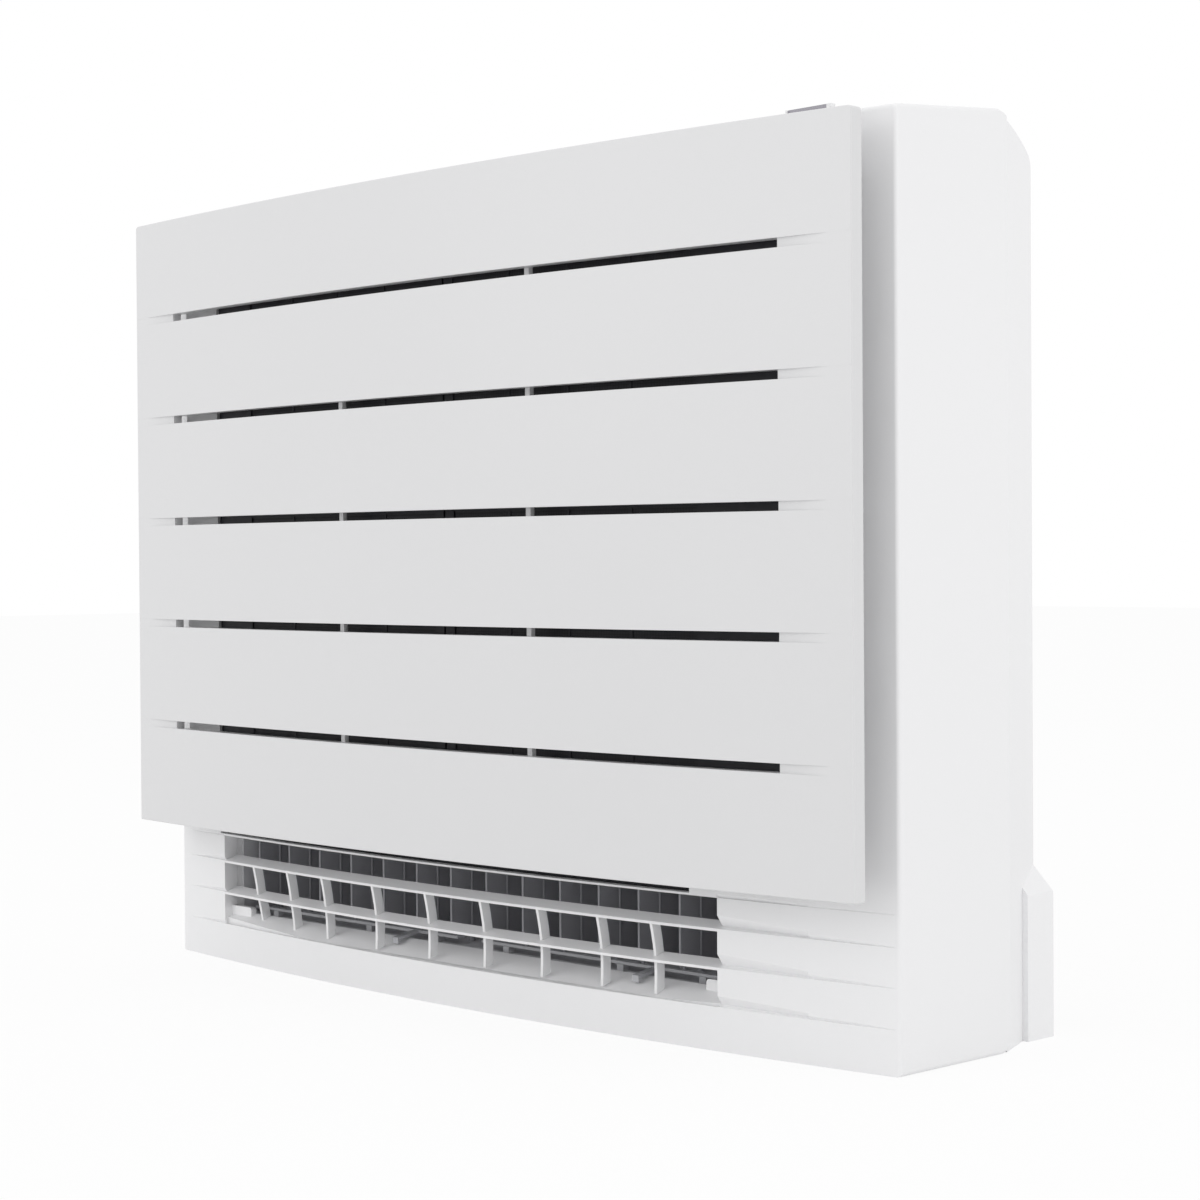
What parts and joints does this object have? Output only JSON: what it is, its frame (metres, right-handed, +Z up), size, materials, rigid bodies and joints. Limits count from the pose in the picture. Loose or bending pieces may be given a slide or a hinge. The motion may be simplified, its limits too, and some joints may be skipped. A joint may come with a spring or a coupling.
{
  "type": "floor standing air conditioner",
  "caption": "Low console air conditioner: bowed slotted front panel that tips open, lower outlet grille with turning fins, upper flap, heat exchanger and centrifugal fan inside.",
  "frame": {"origin": "on the floor at the centre of the footprint", "axes": "+X to the viewer's right seen from the front, +Y towards the wall, +Z up"},
  "size_m": [0.75, 0.238, 0.6],
  "materials": {
    "casing_plastic": "fine matt white",
    "shell_plastic": "satin white",
    "panel_plastic": "smooth satin white",
    "filter_plastic": "dark moulded frame and mesh",
    "deodoriser": "porous black",
    "fin_aluminium": "bare rolled",
    "copper": "bare drawn copper",
    "brass": "turned",
    "galvanised": "zinc coated sheet",
    "shaft_steel": "ground",
    "motor_can": "satin grey paint",
    "pan_foam": "moulded polystyrene",
    "duct_plastic": "matt light grey",
    "fan_plastic": "matt grey",
    "fin_plastic": "matt dark grey",
    "link_plastic": "matt grey",
    "rubber": "moulded",
    "seal_foam": "closed cell foam",
    "hose": "pale soft vinyl",
    "board": "solder masked laminate",
    "terminal": "moulded black",
    "lens": "smoked clear",
    "button_plastic": "satin pale grey"
  },
  "bodies": {
    "cabinet": {"rear_casing": "casing_plastic", "mounting_plate": "galvanised", "front_shell": "shell_plastic", "outlet_seal": "seal_foam", "air_filter_left": "filter_plastic", "air_filter_right": "filter_plastic", "deodoriser_left": "deodoriser", "deodoriser_right": "deodoriser", "coil_fins": "fin_aluminium", "coil_end_plates": "galvanised", "coil_tubes": "copper", "drain_pan": "pan_foam", "drain_hose": "hose", "bell_mouth": "duct_plastic", "fan_motor": "motor_can", "motor_clamp": "galvanised", "motor_bushes": "rubber", "screws": "shaft_steel", "upper_duct": "duct_plastic", "flap_motor": "motor_can", "lower_duct": "duct_plastic", "damper_motor": "motor_can", "electrical_box": "terminal", "electrical_lid": "galvanised", "control_board": "board", "terminal_block": "terminal", "display_board": "board", "display_window": "lens", "room_sensor": "terminal", "gas_pipe": "copper", "liquid_pipe": "copper", "flare_unions": "brass"},
    "panel": {"front_panel": "panel_plastic", "panel_pads": "rubber"},
    "stopper_left": {"panel_stopper_left": "link_plastic"},
    "stopper_right": {"panel_stopper_right": "link_plastic"},
    "fan": {"fan_wheel": "fan_plastic", "motor_shaft": "shaft_steel", "shaft_nut": "shaft_steel"},
    "flap": {"upper_flap": "shell_plastic"},
    "damper": {"lower_damper": "fin_plastic"},
    "link_left": {"link_bar_left": "link_plastic"},
    "link_right": {"link_bar_right": "link_plastic"},
    "power_button": {"on_off_button": "button_plastic"},
    "airflow_lever": {"airflow_switch": "terminal"},
    "fin_1": {"lower_fin_1": "fin_plastic"},
    "fin_2": {"lower_fin_2": "fin_plastic"},
    "fin_3": {"lower_fin_3": "fin_plastic"},
    "fin_4": {"lower_fin_4": "fin_plastic"},
    "fin_5": {"lower_fin_5": "fin_plastic"},
    "fin_6": {"lower_fin_6": "fin_plastic"},
    "fin_7": {"lower_fin_7": "fin_plastic"},
    "fin_8": {"lower_fin_8": "fin_plastic"},
    "fin_9": {"lower_fin_9": "fin_plastic"},
    "fin_10": {"lower_fin_10": "fin_plastic"},
    "fin_11": {"lower_fin_11": "fin_plastic"},
    "fin_12": {"lower_fin_12": "fin_plastic"},
    "fin_13": {"lower_fin_13": "fin_plastic"},
    "fin_14": {"lower_fin_14": "fin_plastic"}
  },
  "joints": [
    {"name": "panel_hinge", "type": "hinge", "parent": "cabinet", "child": "panel", "pos_m": [0, -0.086, 0.119], "axis": [1, 0, 0], "range_deg": [0, 60]},
    {"name": "stopper_left_slide", "type": "slide", "parent": "cabinet", "child": "stopper_left", "axis": [-1, 0, 0], "range_m": [0, 0.008]},
    {"name": "stopper_right_slide", "type": "slide", "parent": "cabinet", "child": "stopper_right", "axis": [1, 0, 0], "range_m": [0, 0.008]},
    {"name": "fan_spin", "type": "hinge", "parent": "cabinet", "child": "fan", "pos_m": [-0.0345, 0.05, 0.337], "axis": [0, 1, 0], "continuous": true},
    {"name": "flap_turn", "type": "hinge", "parent": "cabinet", "child": "flap", "pos_m": [0, 0.02, 0.59454], "axis": [-1, 0, 0], "range_deg": [0, 70]},
    {"name": "damper_turn", "type": "hinge", "parent": "cabinet", "child": "damper", "pos_m": [0, 0.015, 0.112], "axis": [-1, 0, 0], "range_deg": [0, 85]},
    {"name": "link_left_slide", "type": "slide", "parent": "cabinet", "child": "link_left", "axis": [1, 0, 0], "range_m": [-0.006, 0.006]},
    {"name": "link_right_slide", "type": "slide", "parent": "cabinet", "child": "link_right", "axis": [1, 0, 0], "range_m": [-0.006, 0.006]},
    {"name": "fin_1_turn", "type": "hinge", "parent": "cabinet", "child": "fin_1", "pos_m": [-0.28605, -0.026, 0.07], "axis": [0, 0, 1], "range_deg": [-22, 22]},
    {"name": "fin_2_turn", "type": "hinge", "parent": "cabinet", "child": "fin_2", "pos_m": [-0.24735, -0.026, 0.07], "axis": [0, 0, 1], "range_deg": [-22, 22]},
    {"name": "fin_3_turn", "type": "hinge", "parent": "cabinet", "child": "fin_3", "pos_m": [-0.20865, -0.026, 0.07], "axis": [0, 0, 1], "range_deg": [-22, 22]},
    {"name": "fin_4_turn", "type": "hinge", "parent": "cabinet", "child": "fin_4", "pos_m": [-0.16995, -0.026, 0.07], "axis": [0, 0, 1], "range_deg": [-22, 22]},
    {"name": "fin_5_turn", "type": "hinge", "parent": "cabinet", "child": "fin_5", "pos_m": [-0.13125, -0.026, 0.07], "axis": [0, 0, 1], "range_deg": [-22, 22]},
    {"name": "fin_6_turn", "type": "hinge", "parent": "cabinet", "child": "fin_6", "pos_m": [-0.09255, -0.026, 0.07], "axis": [0, 0, 1], "range_deg": [-22, 22]},
    {"name": "fin_7_turn", "type": "hinge", "parent": "cabinet", "child": "fin_7", "pos_m": [-0.05385, -0.026, 0.07], "axis": [0, 0, 1], "range_deg": [-22, 22]},
    {"name": "fin_8_turn", "type": "hinge", "parent": "cabinet", "child": "fin_8", "pos_m": [-0.01515, -0.026, 0.07], "axis": [0, 0, 1], "range_deg": [-22, 22]},
    {"name": "fin_9_turn", "type": "hinge", "parent": "cabinet", "child": "fin_9", "pos_m": [0.02355, -0.026, 0.07], "axis": [0, 0, 1], "range_deg": [-22, 22]},
    {"name": "fin_10_turn", "type": "hinge", "parent": "cabinet", "child": "fin_10", "pos_m": [0.06225, -0.026, 0.07], "axis": [0, 0, 1], "range_deg": [-22, 22]},
    {"name": "fin_11_turn", "type": "hinge", "parent": "cabinet", "child": "fin_11", "pos_m": [0.10095, -0.026, 0.07], "axis": [0, 0, 1], "range_deg": [-22, 22]},
    {"name": "fin_12_turn", "type": "hinge", "parent": "cabinet", "child": "fin_12", "pos_m": [0.13965, -0.026, 0.07], "axis": [0, 0, 1], "range_deg": [-22, 22]},
    {"name": "fin_13_turn", "type": "hinge", "parent": "cabinet", "child": "fin_13", "pos_m": [0.17835, -0.026, 0.07], "axis": [0, 0, 1], "range_deg": [-22, 22]},
    {"name": "fin_14_turn", "type": "hinge", "parent": "cabinet", "child": "fin_14", "pos_m": [0.21705, -0.026, 0.07], "axis": [0, 0, 1], "range_deg": [-22, 22]},
    {"name": "button_press", "type": "slide", "parent": "cabinet", "child": "power_button", "axis": [0, 0, -1], "range_m": [0, 0.0012], "stiffness_N_per_m": 200},
    {"name": "airflow_slide", "type": "slide", "parent": "cabinet", "child": "airflow_lever", "axis": [0, 0, 1], "range_m": [-0.003, 0.003]}
  ],
  "couplings": [
    {"joint": "fin_1_turn", "follows": "link_left_slide", "rad_per_m": 62.5},
    {"joint": "fin_2_turn", "follows": "link_left_slide", "rad_per_m": 62.5},
    {"joint": "fin_3_turn", "follows": "link_left_slide", "rad_per_m": 62.5},
    {"joint": "fin_4_turn", "follows": "link_left_slide", "rad_per_m": 62.5},
    {"joint": "fin_5_turn", "follows": "link_left_slide", "rad_per_m": 62.5},
    {"joint": "fin_6_turn", "follows": "link_left_slide", "rad_per_m": 62.5},
    {"joint": "fin_7_turn", "follows": "link_left_slide", "rad_per_m": 62.5},
    {"joint": "fin_8_turn", "follows": "link_right_slide", "rad_per_m": 62.5},
    {"joint": "fin_9_turn", "follows": "link_right_slide", "rad_per_m": 62.5},
    {"joint": "fin_10_turn", "follows": "link_right_slide", "rad_per_m": 62.5},
    {"joint": "fin_11_turn", "follows": "link_right_slide", "rad_per_m": 62.5},
    {"joint": "fin_12_turn", "follows": "link_right_slide", "rad_per_m": 62.5},
    {"joint": "fin_13_turn", "follows": "link_right_slide", "rad_per_m": 62.5},
    {"joint": "fin_14_turn", "follows": "link_right_slide", "rad_per_m": 62.5}
  ]
}
